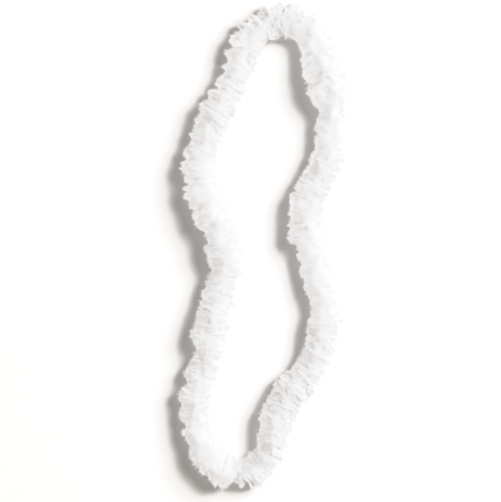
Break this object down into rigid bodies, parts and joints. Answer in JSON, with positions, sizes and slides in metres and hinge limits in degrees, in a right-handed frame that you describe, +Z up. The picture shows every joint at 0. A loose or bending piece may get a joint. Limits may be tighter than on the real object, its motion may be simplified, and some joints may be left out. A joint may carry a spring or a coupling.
{
  "type": "lei",
  "caption": "Closed wavy loop of gathered, twisted thin white film pleats on a knotted string, lying flat; worn round the neck or hung up as a garland.",
  "frame": {"origin": "on the table, under the middle of the loop's outline", "axes": "+Y along the loop's longer way, towards the narrow end with the knot; +Z up from the table"},
  "size_m": [0.1538, 0.4348, 0.0353],
  "materials": {
    "film": "satin",
    "string": "matte"
  },
  "bodies": {
    "root": {"string": "string", "frill_01": "film", "frill_02": "film", "frill_03": "film", "frill_04": "film", "frill_05": "film", "frill_06": "film", "frill_07": "film", "frill_08": "film", "frill_09": "film", "frill_10": "film", "frill_11": "film", "frill_12": "film", "frill_13": "film", "frill_14": "film", "frill_15": "film", "frill_16": "film", "frill_17": "film", "frill_18": "film", "frill_19": "film", "frill_20": "film", "frill_21": "film", "frill_22": "film", "frill_23": "film"}
  },
  "joints": []
}
